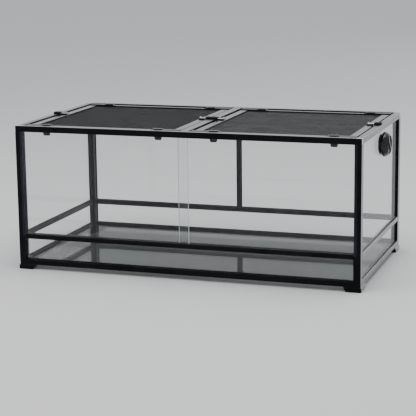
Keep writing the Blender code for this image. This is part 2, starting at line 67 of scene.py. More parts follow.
GAP = 0.0003
FOOT_WIDE, FOOT_DEEP = 0.058, 0.072
POST_WIDE, POST_DEEP = 0.024, 0.028
FRONT_POST_WIDE = 0.014
JAMB_FOOT = 0.1192
RAIL_DEPTH = 0.016
BOTTOM_LOW = 0.019
FLOOR_LOW, FLOOR_TOP = 0.0240, 0.0290
PANE_IN = 0.006
PANE_THICK = 0.005
CENTRE_POST_HALF = 0.008
RAIL_WALL = 0.020
CORNER = 0.036
LEDGE_UNDER, LEDGE_TOP = 0.488, 0.494
TRACK_ROOF, TRACK_TOP = 0.4902, 0.4922
STRIP_TOP = 0.502
JOINER_TOP = 0.5047
LID_OUTER, LID_INNER = 0.577, 0.024
WINDOW_OUTER, WINDOW_INNER = 0.552, 0.049
LID_END_Y, WINDOW_END_Y = 0.295, 0.270
KNOB_INNER_X = 0.098
KNOB_IN = 0.042
KNOB_LOW = 0.5050
KEEPER_TOP = 0.5115
PANE_HOLE = 0.0315


# --- Outlines ----------------------------------------------------------------

def filleted(points, radius, steps=3):
    """Outline with every corner turned into an arc.

    At corner P with unit edges u and v and the angle q between them, the arc
    starts t = r / tan(q / 2) along each edge; its centre lies r / sin(q / 2)
    along u + v, and its points swing evenly from one tangent point to the other.
    radius is one number or one for each corner.
    """
    p = np.asarray(points, float)
    before, after = np.roll(p, 1, 0) - p, np.roll(p, -1, 0) - p
    long_a = np.linalg.norm(before, axis=1, keepdims=True)
    long_b = np.linalg.norm(after, axis=1, keepdims=True)
    u, v = before / long_a, after / long_b
    half = np.arccos(np.clip((u * v).sum(1, keepdims=True), -1, 1)) / 2
    half = np.clip(half, 0.02, math.pi / 2 - 0.02)
    r = np.broadcast_to(np.reshape(np.asarray(radius, float), (-1, 1)), half.shape)
    reach = np.minimum(r / np.tan(half), 0.45 * np.minimum(long_a, long_b))
    r = reach * np.tan(half)
    middle = (u + v) / np.maximum(np.linalg.norm(u + v, axis=1, keepdims=True), 1e-9)
    centre = p + middle * r / np.sin(half)
    a, b = p + u * reach - centre, p + v * reach - centre
    turn = math.pi - 2 * half
    w = np.linspace(0, 1, steps + 1)[None, :, None]
    swing = turn[:, None]
    arc = (np.sin((1 - w) * swing) * a[:, None] + np.sin(w * swing) * b[:, None]) / np.sin(swing)
    return (centre[:, None] + arc).reshape(-1, 2)


def inset(outline, amount):
    """Outline moved inwards: each point goes amount along its inward normal."""
    ahead, behind = np.roll(outline, -1, 0), np.roll(outline, 1, 0)
    along = ahead - behind
    along /= np.maximum(np.linalg.norm(along, axis=1, keepdims=True), 1e-12)
    area = np.sum(outline[:, 0] * ahead[:, 1] - ahead[:, 0] * outline[:, 1])
    inward = np.stack([-along[:, 1], along[:, 0]], 1) * np.sign(area)
    return outline + inward * amount


def rectangle(a0, b0, a1, b1):
    """Corners of a rectangle, anticlockwise from the low ones."""
    return [(a0, b0), (a1, b0), (a1, b1), (a0, b1)]


def shrunk(box, amount):
    """Box (a0, b0, a1, b1) with each side moved in."""
    a0, b0, a1, b1 = box
    return rectangle(a0 + amount, b0 + amount, a1 - amount, b1 - amount)


def circle(radius, count):
    """Points at radius (cos t, sin t)."""
    t = np.arange(count) * 2 * math.pi / count
    return np.stack([radius * np.cos(t), radius * np.sin(t)], 1)


def towards(angles, half_a, half_b, centre=(0.0, 0.0)):
    """Where rays at these angles from a point meet a rectangle |a| < half_a, |b| < half_b."""
    c, s = np.cos(angles), np.sin(angles)
    reach_a = (np.sign(c) * half_a - centre[0]) / np.where(np.abs(c) < 1e-9, 1e-9, c)
    reach_b = (np.sign(s) * half_b - centre[1]) / np.where(np.abs(s) < 1e-9, 1e-9, s)
    reach = np.minimum(np.abs(reach_a), np.abs(reach_b))
    return np.stack([centre[0] + reach * c, centre[1] + reach * s], 1)


def matched(half_a, half_b, centre, radius, count):
    """A rectangle |a| < half_a, |b| < half_b and a circle in it, as outlines of equal count.

    Rays leave the circle's centre, one through each corner of the rectangle and
    the rest evenly spaced; each gives a point on the circle and one on the rectangle.
    """
    ends = [math.atan2(b * half_b - centre[1], a * half_a - centre[0]) for a in (-1, 1) for b in (-1, 1)]
    even = np.linspace(-math.pi, math.pi, count, endpoint=False)
    angles = np.unique(np.round(np.concatenate([even, ends]), 6))
    inner = np.stack([radius * np.cos(angles), radius * np.sin(angles)], 1) + np.array(centre)
    return towards(angles, half_a, half_b, centre), inner


# --- Surfaces ----------------------------------------------------------------

# A skin is four arrays: points, the corners of every face in one row, the number
# of corners of each face, and each face's finish number.

def grid_faces(rows, columns, wrap_rows=False):
    """Quads of a grid whose columns close on themselves."""
    last = rows if wrap_rows else rows - 1
    i, j = np.meshgrid(np.arange(last), np.arange(columns), indexing="ij")
    k, m = (i + 1) % rows, (j + 1) % columns
    quads = np.stack([i * columns + j, i * columns + m, k * columns + m, k * columns + j], -1)
    return quads.reshape(-1, 4)


def through(rings, marks=(0, 0)):
    """Closed skin through rings of equal count, with a flat cap at each end.

    rings is (rows, count, 3). marks gives the finish number of caps and sides.
    """
    rows, count = rings.shape[:2]
    quads = grid_faces(rows, count)
    first, last = np.arange(count)[::-1], np.arange((rows - 1) * count, rows * count)
    corners = np.concatenate([quads.ravel(), first, last])
    sizes = np.repeat([4, count], [len(quads), 2])
    return rings.reshape(-1, 3), corners, sizes, np.repeat([marks[1], marks[0]], [len(quads), 2])


def looped(rings, marks=0):
    """Closed skin through rings that return to the first one, as on a frame round a hole.

    marks is one finish number, or one for each band between two rings.
    """
    rows, count = rings.shape[:2]
    quads = grid_faces(rows, count, True)
    sizes = np.full(len(quads), 4)
    return rings.reshape(-1, 3), quads.ravel(), sizes, np.repeat(np.broadcast_to(marks, rows), count)


def raised(outline, low, high, place, rim=0.0005, steps=2, marks=(0, 0)):
    """Outline carried from low to high with rounded rims.

    Over a rim of radius r the outline is inset by r (1 - sin q) while it has
    travelled r (1 - cos q) from the end, for q from 0 to 90 degrees. The rim is
    never wider than the outline's smallest corner radius, or its cap would cross itself.
    """
    q = np.linspace(0, math.pi / 2, steps + 1)
    draw, travel = rim * (1 - np.sin(q)), rim * (1 - np.cos(q))
    inward = np.concatenate([draw, draw[::-1]])
    level = np.concatenate([low + travel, (high - travel)[::-1]])
    rows = [place(*inset(outline, d).T, np.full(len(outline), c)) for d, c in zip(inward, level)]
    return through(np.stack(rows), marks)


def holed(outer, inner, low, high, place, rim=0.0004, marks=(0, 0)):
    """Plate between two outlines of equal count: top, outer wall, bottom, inner wall."""
    rows = [(inner, -rim, high), (outer, rim, high), (outer, 0, high - rim), (outer, 0, low + rim),
            (outer, rim, low), (inner, -rim, low), (inner, 0, low + rim), (inner, 0, high - rim)]
    rings = np.stack([place(*inset(o, d).T, np.full(len(o), c)) for o, d, c in rows])
    flat, edge = marks
    return looped(rings, [flat, edge, edge, edge, flat, edge, edge, edge])


def turned(profile, place, count=48):
    """Profile of (r, h) points turned about the axis; an end with r = 0 closes to a point.

    The point at angle t is (r cos t, r sin t, h).
    """
    profile = np.asarray(profile, float)
    t = np.arange(count) * 2 * math.pi / count
    r, h = profile[:, :1], profile[:, 1:]
    a, b, c = r * np.cos(t), r * np.sin(t), h + 0 * t
    points = place(a.ravel(), b.ravel(), c.ravel())
    points, corners, sizes = close_poles(points, grid_faces(len(profile), count), profile[:, 0], count)
    return points, corners, sizes, np.zeros(len(sizes), int)


def close_poles(points, quads, radii, count):
    """Draws each ring of zero radius into its first point, so that the quads there turn into triangles.

    A corner that repeats the one before it is dropped from its face.
    """
    index = np.arange(len(points)).reshape(-1, count)
    index[radii == 0] = index[radii == 0, :1]
    quads = index.ravel()[quads]
    kept = quads != np.roll(quads, 1, 1)
    used = np.unique(quads[kept])
    return points[used], np.searchsorted(used, quads[kept]), kept.sum(1)


def turned_loop(profile, place, count=48):
    """Closed profile of (r, h) points, none on the axis, turned into a ring."""
    t = np.arange(count) * 2 * math.pi / count
    rings = [place(r * np.cos(t), r * np.sin(t), np.full(count, h)) for r, h in profile]
    return looped(np.stack(rings))


def join(*skins):
    """Several skins as one; each one's corners are moved on by the points before it."""
    points, corners, sizes, marks = zip(*skins)
    starts = np.cumsum([0] + [len(p) for p in points[:-1]])
    shifted = [c + start for c, start in zip(corners, starts)]
    return np.concatenate(points), np.concatenate(shifted), np.concatenate(sizes), np.concatenate(marks)


# --- Places: from (a, b, c) of an outline to the row frame --------------------

def along_side(side):
    """a is the depth in from the outer face, b the height, c the way along the side."""
    def place(a, b, c):
        if side == "front":
            return np.stack([c, -HALF_Y + a, b], 1)
        if side == "back":
            return np.stack([c, HALF_Y - a, b], 1)
        if side == "left":
            return np.stack([-HALF_X + a, c, b], 1)
        return np.stack([HALF_X - a, c, b], 1)
    return place


def up_corner(end_y, end_x):
    """a and b are the depths in from the two outer faces at a corner, c the height."""
    sx, sy = (-1 if end_x == "left" else 1), (-1 if end_y == "front" else 1)

    def place(a, b, c):
        return np.stack([sx * (HALF_X - a), sy * (HALF_Y - b), c], 1)
    return place


def upright(a, b, c):
    """a along X, b along Y and c up."""
    return np.stack([a, b, c], 1)


def along_x(a, b, c):
    """a along Y, b up and c along X."""
    return np.stack([c, a, b], 1)


def along_y(a, b, c):
    """a along X, b up and c along Y."""
    return np.stack([a, c, b], 1)


def about(x, y):
    """Shapes made about a vertical axis, set down at x, y."""
    def place(a, b, c):
        return np.stack([a + x, b + y, c], 1)
    return place


def across(side):
    """a is the way along a side, b the height, c the depth in from the outer face."""
    inner = along_side(side)

    def place(a, b, c):
        return inner(c, b, a)
    return place


def level_place(place):
    """Lets a place take one height for a whole outline."""
    def put(a, b, c):
        return place(a, b, np.broadcast_to(c, a.shape))
    return put


# --- Finishes ----------------------------------------------------------------

class Value:
    """A shader socket that takes part in arithmetic."""

    def __init__(self, finish, socket):
        self.finish = finish
        self.socket = socket

    def _with(self, operation, *others):
        values = dict(enumerate((self, *others)))
        return self.finish.node("ShaderNodeMath", {"operation": operation}, values)

    def __add__(self, other):
        return self._with("ADD", other)

    def __mul__(self, other):
        return self._with("MULTIPLY", other)

    def __pow__(self, other):
        return self._with("POWER", other)

    __radd__ = __add__
    __rmul__ = __mul__

    def size(self):
        """The number without its sign."""
        return self._with("ABSOLUTE")

    def most(self, other):
        """The larger of the two."""
        return self._with("MAXIMUM", other)

    def above(self, limit, soft):
        """0 below limit, 1 above limit + soft, smooth in between."""
        return self.finish.node("ShaderNodeMapRange", {"interpolation_type": "SMOOTHSTEP"},
                                {"Value": self, "From Min": limit, "From Max": limit + soft})


class Finish:
    """A material built node by node."""

    def __init__(self, name):
        self.material = bpy.data.materials.new(name)
        self.material.use_nodes = True
        self.tree = self.material.node_tree
        self.tree.nodes.clear()
        self.place = self.node("ShaderNodeTexCoord", {}, {}, "Object")

    def node(self, kind, settings, values, output=0):
        """A node of a kind, with its settings made first and then its sockets filled."""
        made = self.tree.nodes.new(kind)
        for key, setting in settings.items():
            setattr(made, key, setting)
        for key, value in values.items():
            self.feed(made.inputs[key], value)
        return Value(self, made.outputs[output]) if made.outputs else None

    def feed(self, socket, value):
        """Links a value or sets a plain number, colour or vector."""
        if isinstance(value, Value):
            self.tree.links.new(value.socket, socket)
        elif isinstance(value, tuple) and len(value) == 3 and len(socket.default_value) == 4:
            socket.default_value = (*value, 1.0)
        else:
            socket.default_value = value

    def stretched(self, scale):
        """Object coordinates multiplied along each axis."""
        return self.node("ShaderNodeMapping", {}, {"Vector": self.place, "Scale": scale})

    def noise(self, scale, detail=2.0, vector=None):
        """Cloudy noise from 0 to 1."""
        values = {"Vector": vector or self.place, "Scale": scale, "Detail": detail, "Roughness": 0.5}
        return self.node("ShaderNodeTexNoise", {}, values, "Fac")

    def blend(self, share, one, two):
        """Colour between one and two by share."""
        return self.node("ShaderNodeMix", {"data_type": "RGBA"}, {0: share, 6: one, 7: two}, 2)

    def bump(self, height, strength, distance):
        """Normals tilted as if the surface rose with height."""
        values = {"Height": height, "Strength": strength, "Distance": distance}
        return self.node("ShaderNodeBump", {}, values)

    def facing_up(self):
        """1 on faces that look up, 0 on walls and undersides."""
        normal = self.node("ShaderNodeNewGeometry", {}, {}, "Normal")
        return self.node("ShaderNodeSeparateXYZ", {}, {0: normal}, 2).above(0.55, 0.4)

    def outside(self, crest):
        """1 above the crest height and on the enclosure's outer walls, 0 in the grooves between; a 0 takes
        the coat off there as painted shade.
        """
        near = [self.node("ShaderNodeSeparateXYZ", {}, {0: self.place}, axis) for axis in range(3)]
        wall = RAIL_WALL - 0.0001
        sides = near[0].size().above(HALF_X - wall, 0.0002) + near[1].size().above(HALF_Y - wall, 0.0002)
        return sides.most(near[2].above(crest, 0.0006))

    def surface(self, **values):
        """Principled surface; each keyword is a socket's name in small letters."""
        names = {key.replace("_", " ").title().replace("Ior", "IOR"): v for key, v in values.items()}
        return self.node("ShaderNodeBsdfPrincipled", {}, names)

    def done(self, shader):
        """Ends the material with this shader."""
        self.node("ShaderNodeOutputMaterial", {}, {"Surface": shader})
        return self.material


def satin(name, dark, light, rough, grain, ior=1.15, skin=1.0, crest=None):
    """Moulded or painted black: soft cloudy colour, uneven gloss and a fine grain.

    The clear skin over it shows where the surface is seen at a low angle. With a
    crest height it stays off everything lower than that inside the outer walls,
    so that the grooves beside the lids stay dark: painted shade in the grooves.
    """
    finish = Finish(name)
    # Painted shade: the coat is taken off in the grooves below the crest, inside the outer walls.
    if crest:
        skin = finish.outside(crest) * skin
    cloud = finish.noise(7.0, 3.0)
    grit = finish.noise(1400.0, 2.0)
    dust = finish.facing_up() * finish.noise(60.0, 4.0).above(0.42, 0.3)
    colour = finish.blend(cloud.above(0.35, 0.3), dark, light)
    colour = finish.blend(dust * 0.06, colour, (0.16, 0.16, 0.155))
    low_angle = finish.node("ShaderNodeLayerWeight", {}, {"Blend": 0.5}, "Facing").above(0.30, 0.30)
    return finish.done(finish.surface(
        base_color=colour,
        roughness=rough - 0.05 + cloud * 0.10 + dust * 0.06,
        ior=ior,
        coat_weight=low_angle * (0.86 + cloud * 0.14) * skin,
        coat_roughness=rough * 0.75,
        coat_ior=2.2,
        normal=finish.bump(grit, grain, 0.00006)))


def clear_pane(name, tint, gloss):
    """Float glass: lets light through with a slight tint and mirrors at low angles.

    With c the cosine of the angle to the surface, the mirror share is
    0.034 + 0.966 (1 - c)^5, the same from both sides so that light isn't trapped
    inside a sheet. gloss scales that share.
    """
    finish = Finish(name)
    haze = finish.noise(2.5, 2.0).above(0.45, 0.4)
    smear = finish.noise(14.0, 5.0, finish.stretched((1.0, 1.0, 0.35))).above(0.52, 0.25)
    clear = finish.node("ShaderNodeBsdfTransparent", {}, {"Color": tint})
    mirror = finish.surface(base_color=(0.93, 0.945, 0.95), metallic=1.0, roughness=smear * 0.03 + 0.012)
    slant = finish.node("ShaderNodeLayerWeight", {}, {"Blend": 0.5}, "Facing")
    share = (slant ** 5 * 0.966 + 0.034) * gloss + haze * 0.010
    return finish.done(finish.node("ShaderNodeMixShader", {}, {0: share, 1: clear, 2: mirror}))


def ground_edge(name, deep, pale, rough):
    """Polished glass edge: green-grey, with streaks along the cut."""
    finish = Finish(name)
    streak = finish.noise(40.0, 4.0, finish.stretched((1.0, 1.0, 12.0)))
    return finish.done(finish.surface(base_color=finish.blend(streak.above(0.35, 0.3), deep, pale),
                                      roughness=rough + streak * 0.1, ior=1.5, coat_weight=0.5))


def wire(name, dark, pale):
    """Coated wire: dark grey with uneven coating."""
    finish = Finish(name)
    patch = finish.noise(16.0, 4.0)
    speck = finish.noise(900.0, 1.0)
    colour = finish.blend(patch.above(0.35, 0.3), dark, pale)
    return finish.done(finish.surface(base_color=colour, roughness=0.42 + speck * 0.16, metallic=0.2))


def brushed(name, base, bright, rough, scale):
    """Rolled metal with fine lines one way."""
    finish = Finish(name)
    lines = finish.noise(500.0, 3.0, finish.stretched(scale))
    return finish.done(finish.surface(base_color=finish.blend(lines, base, bright), metallic=1.0,
                                      roughness=rough + lines * 0.15,
                                      normal=finish.bump(lines, 0.15, 0.00004)))


BLACK = (0.0030, 0.0032, 0.0042), (0.0050, 0.0053, 0.0068)
FRAME = satin("frame_satin_black", *BLACK, 0.28, 0.2)
# Painted shade: a copy of the frame finish with most of its low-angle coat taken off, for the left rails, the
# back mid rail and the back left post.
SHADED_FRAME = satin("frame_shaded_black", *BLACK, 0.40, 0.2, skin=0.22)
# The top frame and the lid frames lose their coat in the grooves beside the lids: painted shade.
CREST = satin("top_frame_satin_black", *BLACK, 0.28, 0.2, crest=0.5038)
LID = satin("lid_satin_black", *BLACK, 0.28, 0.2, crest=0.5008)
JOINER = satin("joiner_matte_black", (0.008, 0.0083, 0.009), (0.012, 0.0123, 0.0135), 0.42, 0.4, skin=0.62)
KEEPER = satin("keeper_matte_black", (0.004, 0.004, 0.0045), (0.007, 0.007, 0.0075), 0.60, 0.5, skin=0.05)
JAMB = satin("jamb_blue_grey", (0.011, 0.0125, 0.018), (0.016, 0.018, 0.025), 0.30, 0.2, skin=0.5)
TRACK = satin("track_black", (0.007, 0.007, 0.008), (0.011, 0.011, 0.0125), 0.42, 0.3, skin=0.4)
KNOB = satin("knob_satin_black", (0.013, 0.0134, 0.0145), (0.019, 0.0195, 0.021), 0.26, 0.2, skin=0.8)
VENT = satin("vent_gloss_black", (0.005, 0.0055, 0.006), (0.009, 0.0095, 0.0105), 0.11, 0.1, 1.42, 0.45)
DIAL = satin("dial_gloss_black", (0.009, 0.0095, 0.0105), (0.014, 0.0145, 0.016), 0.14, 0.12, 1.42, 0.40)
GLASS = clear_pane("clear_glass", (0.970, 0.977, 0.975), 0.50)
FLOOR_GLASS = clear_pane("floor_glass", (0.552, 0.549, 0.549), 0.55)
GASKET = satin("glazing_gasket_black", (0.006, 0.006, 0.0065), (0.010, 0.010, 0.0105), 0.55, 0.5, skin=0.12)
BONDED = satin("bonded_glass_edge", (0.015, 0.018, 0.018), (0.022, 0.026, 0.025), 0.35, 0.1, skin=0.3)
EDGE = ground_edge("polished_glass_edge", (0.42, 0.56, 0.54), (0.70, 0.80, 0.79), 0.16)
# Painted shade: the left lid's wire is a darker copy of the right lid's wire.
WIRE = {"left": wire("screen_wire_shaded", (0.014, 0.0145, 0.0155), (0.026, 0.0265, 0.0275)),
        "right": wire("screen_wire", (0.042, 0.043, 0.045), (0.066, 0.067, 0.069))}
BOLT = brushed("bolt_brushed_steel", (0.50, 0.51, 0.52), (0.66, 0.67, 0.68), 0.24, (1.0, 12.0, 1.0))
RIVET = brushed("rivet_steel", (0.36, 0.37, 0.38), (0.50, 0.51, 0.52), 0.30, (1.0, 1.0, 1.0))


# --- Setting a skin down as a piece ------------------------------------------

SHARP_ANGLE = math.radians(38.0)


def make(name, body, slot, skin, finishes, nodes=()):
    """Puts a skin in a mesh, turns its faces outwards and hangs it on its body."""
    points, corners, sizes, marks = skin
    mesh = bpy.data.meshes.new(name)
    mesh.vertices.add(len(points))
    mesh.vertices.foreach_set("co", points.ravel())
    mesh.loops.add(len(corners))
    mesh.loops.foreach_set("vertex_index", corners)
    mesh.polygons.add(len(sizes))
    mesh.polygons.foreach_set("loop_start", np.cumsum(sizes) - sizes)
    mesh.polygons.foreach_set("material_index", marks)
    mesh.update(calc_edges=True)
    for finish in finishes:
        mesh.materials.append(finish)
    shell = bmesh.new()
    shell.from_mesh(mesh)
    bmesh.ops.recalc_face_normals(shell, faces=shell.faces)
    shell.to_mesh(mesh)
    shell.free()
    mesh.shade_smooth()
    mesh.set_sharp_from_angle(angle=SHARP_ANGLE)
    item = bpy.data.objects.new(name, mesh)
    bpy.context.collection.objects.link(item)
    weighted = item.modifiers.new("even", "WEIGHTED_NORMAL")
    weighted.keep_sharp = True
    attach(item, body)
    if nodes:
        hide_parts(*nodes)


def part(name, *skins, slot="frame_black", finish=FRAME):
    """One piece of the fixed frame that stands for the node of the same name."""
    make(f"{name}_piece", "enclosure", slot, join(*skins), [finish], (name,))


def rail(side, profile, end, radius=0.0010, rim=0.0005):
    """Profile of (depth, height) with eased corners, run along a side of the frame."""
    return raised(filleted(profile, radius), -end, end, along_side(side), rim, 3)


# --- Feet and bottom frame ---------------------------------------------------

def foot(end_y, end_x):
    """L-shaped shoe lofted through eight-cornered outlines, wide below and stepped above.

    Each ring is the outline at one height; the flare shrinks from the sole to
    the rail, and the inside steps back where the floor pane sits.
    """
    def low_outline(flare, short):
        wide, deep = FOOT_WIDE - short, FOOT_DEEP - short
        return [(-flare, -flare), (wide, -flare), (wide, 0.028), (0.033, 0.028),
                (0.0288, 0.0288), (0.028, 0.033), (0.028, deep), (-flare, deep)]
    high_outline = [(0, 0), (FOOT_WIDE, 0), (FOOT_WIDE, 0.0160), (0.0242, 0.0160), (0.0242, 0.0282),
                    (0.0160, 0.0282), (0.0160, FOOT_DEEP), (0, FOOT_DEEP)]
    radii = [0.0035, 0.002, 0.002, 0.001, 0.001, 0.001, 0.002, 0.002]
    place = level_place(up_corner(end_y, end_x))
    levels = [(0.0000, 0.0020, 0.0100), (0.0008, 0.0028, 0.0088), (0.0110, 0.0030, 0.0026),
              (0.0122, 0.0028, 0.0020), (0.0140, 0.0020, 0.0013), (0.0180, 0.0004, 0.0002),
              (0.0200, 0.0, 0.0), (0.0232, 0.0, 0.0)]
    rings = [place(*filleted(low_outline(f, s), radii).T, z) for z, f, s in levels]
    top = filleted(high_outline, [0.002, 0.001, 0.001, 0.0006, 0.0006, 0.0006, 0.001, 0.001])
    upper = [(0.0002, 0.0237), (0, 0.0240), (0, BASE_TOP - 0.0006), (0.0002, BASE_TOP - 0.0002),
             (0.0006, BASE_TOP)]
    rings += [place(*inset(top, d).T, z) for d, z in upper]
    return through(np.stack(rings))


def build_base():
    """Four feet, the rails between them and the floor pane that lies on the rails."""
    for end_y in ("front", "back"):
        for end_x in ("left", "right"):
            part(f"foot_{end_y}_{end_x}", foot(end_y, end_x))
    shelf = 0.0237
    plain = [(0, BOTTOM_LOW), (0.030, BOTTOM_LOW), (0.030, shelf), (RAIL_DEPTH, shelf),
             (RAIL_DEPTH, BASE_TOP), (0, BASE_TOP)]
    lip = [(0.0010, BOTTOM_LOW), (0.0010, 0.0165), (0.0065, 0.0165), (0.0065, BOTTOM_LOW)]
    lipped = plain[:1] + lip + plain[1:]
    for side in ("front", "back"):
        part(f"bottom_rail_{side}", rail(side, lipped, HALF_X - FOOT_WIDE - GAP, 0.0009, 0.0003))
    # The left rail takes the shaded copy of the frame finish: painted shade.
    for side, finish in (("left", SHADED_FRAME), ("right", FRAME)):
        part(f"bottom_rail_{side}", rail(side, plain, HALF_Y - FOOT_DEEP - GAP, 0.0012), finish=finish)
    x, y = HALF_X - RAIL_DEPTH - 2 * GAP, HALF_Y - RAIL_DEPTH - 2 * GAP
    cx, cy = HALF_X - POST_WIDE - 2 * GAP, HALF_Y - POST_DEEP - 2 * GAP
    outline = [(-x, -cy), (-cx, -cy), (-cx, -y), (cx, -y), (cx, -cy), (x, -cy),
               (x, cy), (cx, cy), (cx, y), (-cx, y), (-cx, cy), (-x, cy)]
    skin = raised(filleted(outline, 0.0006), FLOOR_LOW, FLOOR_TOP, upright, 0.0004, 3, (0, 1))
    make("floor_pane_piece", "enclosure", "clear_glass", skin, [FLOOR_GLASS, BONDED], ("floor_pane",))


# --- Posts, jambs and mid rails ----------------------------------------------

def build_posts():
    """Corner posts with a fine line on each outer face, door jambs, and a post at mid back."""
    low, high = BASE_TOP + GAP, RAIL_UNDER - GAP
    line = 0.0046
    face = [(0, 0), (line - 0.0006, 0), (line, 0.0006), (line + 0.0006, 0)]
    side_line = [(0, 0.0206), (0.0006, 0.0200), (0, 0.0194)]
    ease = [0.0014, 0.0001, 0.0001, 0.0001, 0.0008, 0.0008, 0.0012, 0.0001, 0.0001, 0.0001]
    front = face + [(FRONT_POST_WIDE, 0), (FRONT_POST_WIDE, POST_DEEP), (0, POST_DEEP)] + side_line
    back = face + [(POST_WIDE, 0), (POST_WIDE, POST_DEEP), (0, POST_DEEP)] + side_line
    step = filleted(rectangle(0.0136, 0.0003, POST_WIDE, 0.0277), 0.0008)
    comb = [(0.0143, 0.0010), (POST_WIDE, 0.0010), (POST_WIDE, 0.0053), (0.018, 0.0053), (0.018, 0.0113),
            (POST_WIDE, 0.0113), (POST_WIDE, 0.0147), (0.018, 0.0147), (0.018, 0.0207), (POST_WIDE, 0.0207),
            (POST_WIDE, 0.0270), (0.0143, 0.0270)]
    for end_x in ("left", "right"):
        place = up_corner("front", end_x)
        part(f"post_front_{end_x}", raised(filleted(front, ease), low, high, place, 0.0001, 1),
             raised(step, low, JAMB_FOOT, place, 0.0004, 3))
        part(f"jamb_{end_x}", raised(filleted(comb, 0.0007), JAMB_FOOT + GAP, high, place, 0.0003, 3),
             slot="jamb_grey", finish=JAMB)
        place = up_corner("back", end_x)
        # The back left post takes the shaded copy of the frame finish: painted shade.
        part(f"post_back_{end_x}", raised(filleted(back, ease), low, high, place, 0.0001, 1),
             finish=SHADED_FRAME if end_x == "left" else FRAME)
    half = CENTRE_POST_HALF
    outline = filleted(rectangle(-half, -(HALF_Y - 0.002), half, -(HALF_Y - 0.018)), 0.0014)
    outline[:, 1] *= -1
    part("post_back_centre", raised(outline, MID_TOP + GAP, high, upright, 0.0004, 3))


def build_mid_rails():
    """Rails round the middle; the front one is a channel for the lower track."""
    end = HALF_X - POST_WIDE - GAP
    front = [(0, MID_LOW), (0.026, MID_LOW), (0.026, MID_TOP), (0.023, MID_TOP), (0.023, 0.117),
             (0.003, 0.117), (0.003, MID_TOP), (0, MID_TOP)]
    part("mid_rail_front", rail("front", front, end, 0.0008))
    plain = [(0, MID_LOW), (RAIL_DEPTH, MID_LOW), (RAIL_DEPTH, MID_TOP), (0, MID_TOP)]
    # The back and left mid rails take the shaded copy of the frame finish: painted shade.
    part("mid_rail_back", rail("back", plain, end, 0.0013), finish=SHADED_FRAME)
    for side, finish in (("left", SHADED_FRAME), ("right", FRAME)):
        part(f"mid_rail_{side}", rail(side, plain, HALF_Y - POST_DEEP - GAP, 0.0013), finish=finish)


def build_tracks():
    """Two-groove tracks: the lower in the mid rail, the upper in the top rail."""
    bed, foot_level, roof = 0.1198, 0.1173, 0.4897
    lower = [(0.0033, foot_level), (0.0227, foot_level), (0.0227, MID_TOP), (0.0207, MID_TOP), (0.0207, bed),
             (0.0147, bed), (0.0147, MID_TOP), (0.0113, MID_TOP), (0.0113, bed), (0.0053, bed),
             (0.0053, MID_TOP), (0.0033, MID_TOP)]
    upper = [(0.0033, RAIL_UNDER), (0.0053, RAIL_UNDER), (0.0053, roof), (0.0113, roof), (0.0113, RAIL_UNDER),
             (0.0147, RAIL_UNDER), (0.0147, roof), (0.0207, roof), (0.0207, RAIL_UNDER), (0.0227, RAIL_UNDER),
             (0.0227, TRACK_TOP), (0.0033, TRACK_TOP)]
    for level, profile, short in (("lower", lower, POST_WIDE), ("upper", upper, CORNER)):
        part(f"door_track_{level}", rail("front", profile, HALF_X - short - GAP, 0.0007),
             slot="track_black", finish=TRACK)


# --- Glass -------------------------------------------------------------------

def pane(name, side, box, depth, edge=BONDED, body="enclosure", corner=0.0012):
    """Sheet of 5 mm glass with eased, ground edges."""
    outline = filleted(rectangle(*box), corner)
    skin = raised(outline, depth, depth + PANE_THICK, across(side), 0.0006, 3, (0, 1))
    make(f"{name}_piece", body, "clear_glass", skin, [GLASS, edge], (name,))


def gasket(name, side, box, depth):
    """Soft strip round a pane on both faces: a rectangular ring 1.6 mm wide and 1 mm thick."""
    outer, inner = filleted(shrunk(box, 0.0002), 0.0006), filleted(shrunk(box, 0.0018), 0.0006)
    levels = ((depth - 0.0012, depth - 0.0002), (depth + 0.0052, depth + 0.0062))
    rings = [holed(outer, inner, low, high, across(side), 0.0003) for low, high in levels]
    make(f"gasket_{name}", "enclosure", "track_black", join(*rings), [GASKET])


def holed_pane(name, side, box, depth, spot, radius):
    """Sheet of glass, as wide to the left as to the right, with a round hole at spot."""
    _, z0, half, z1 = box
    mid = np.array([0.0, (z0 + z1) / 2])
    outer, inner = matched(half, (z1 - z0) / 2, (spot[0], spot[1] - mid[1]), radius, 96)
    skin = holed(outer + mid, inner + mid, depth, depth + PANE_THICK, across(side), 0.0004, (0, 1))
    make(f"{name}_piece", "enclosure", "clear_glass", skin, [GLASS, BONDED], (name,))


def build_glass():
    """Lower panes all round, upper panes at the sides and back, their gaskets and the two doors."""
    low, high = BASE_TOP + GAP, MID_LOW - GAP
    tall, roof = MID_TOP + GAP, RAIL_UNDER - GAP
    x, y, middle = HALF_X - POST_WIDE - GAP, HALF_Y - POST_DEEP - GAP, CENTRE_POST_HALF + GAP
    across_lower, along_lower, along_upper = (-x, low, x, high), (-y, low, y, high), (-y, tall, y, roof)
    back = {"left": (-x, tall, -middle, roof), "right": (middle, tall, x, roof)}
    pane("lower_pane_front", "front", across_lower, 0.008)
    pane("lower_pane_back", "back", across_lower, PANE_IN)
    for side in ("left", "right"):
        pane(f"lower_pane_{side}", side, along_lower, PANE_IN)
    pane("side_pane_left", "left", along_upper, PANE_IN)
    holed_pane("side_pane_right", "right", along_upper, PANE_IN, (VENT_Y, VENT_Z), PANE_HOLE)
    for end in ("left", "right"):
        pane(f"back_pane_{end}", "back", back[end], PANE_IN)
    gasket("lower_front", "front", across_lower, 0.008)
    gasket("lower_back", "back", across_lower, PANE_IN)
    for end in ("left", "right"):
        gasket(f"back_{end}", "back", back[end], PANE_IN)
    for side in ("left", "right"):
        gasket(f"lower_{side}", side, along_lower, PANE_IN)
        gasket(f"side_{side}", side, along_upper, PANE_IN)
    for side in ("left", "right"):
        near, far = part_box(f"door_{side}")
        box, depth = (near.x, near.z, far.x, far.z), near.y + HALF_Y
        pane(f"door_{side}", "front", box, depth, EDGE, f"door_{side}", 0.002)


# --- Top frame ---------------------------------------------------------------

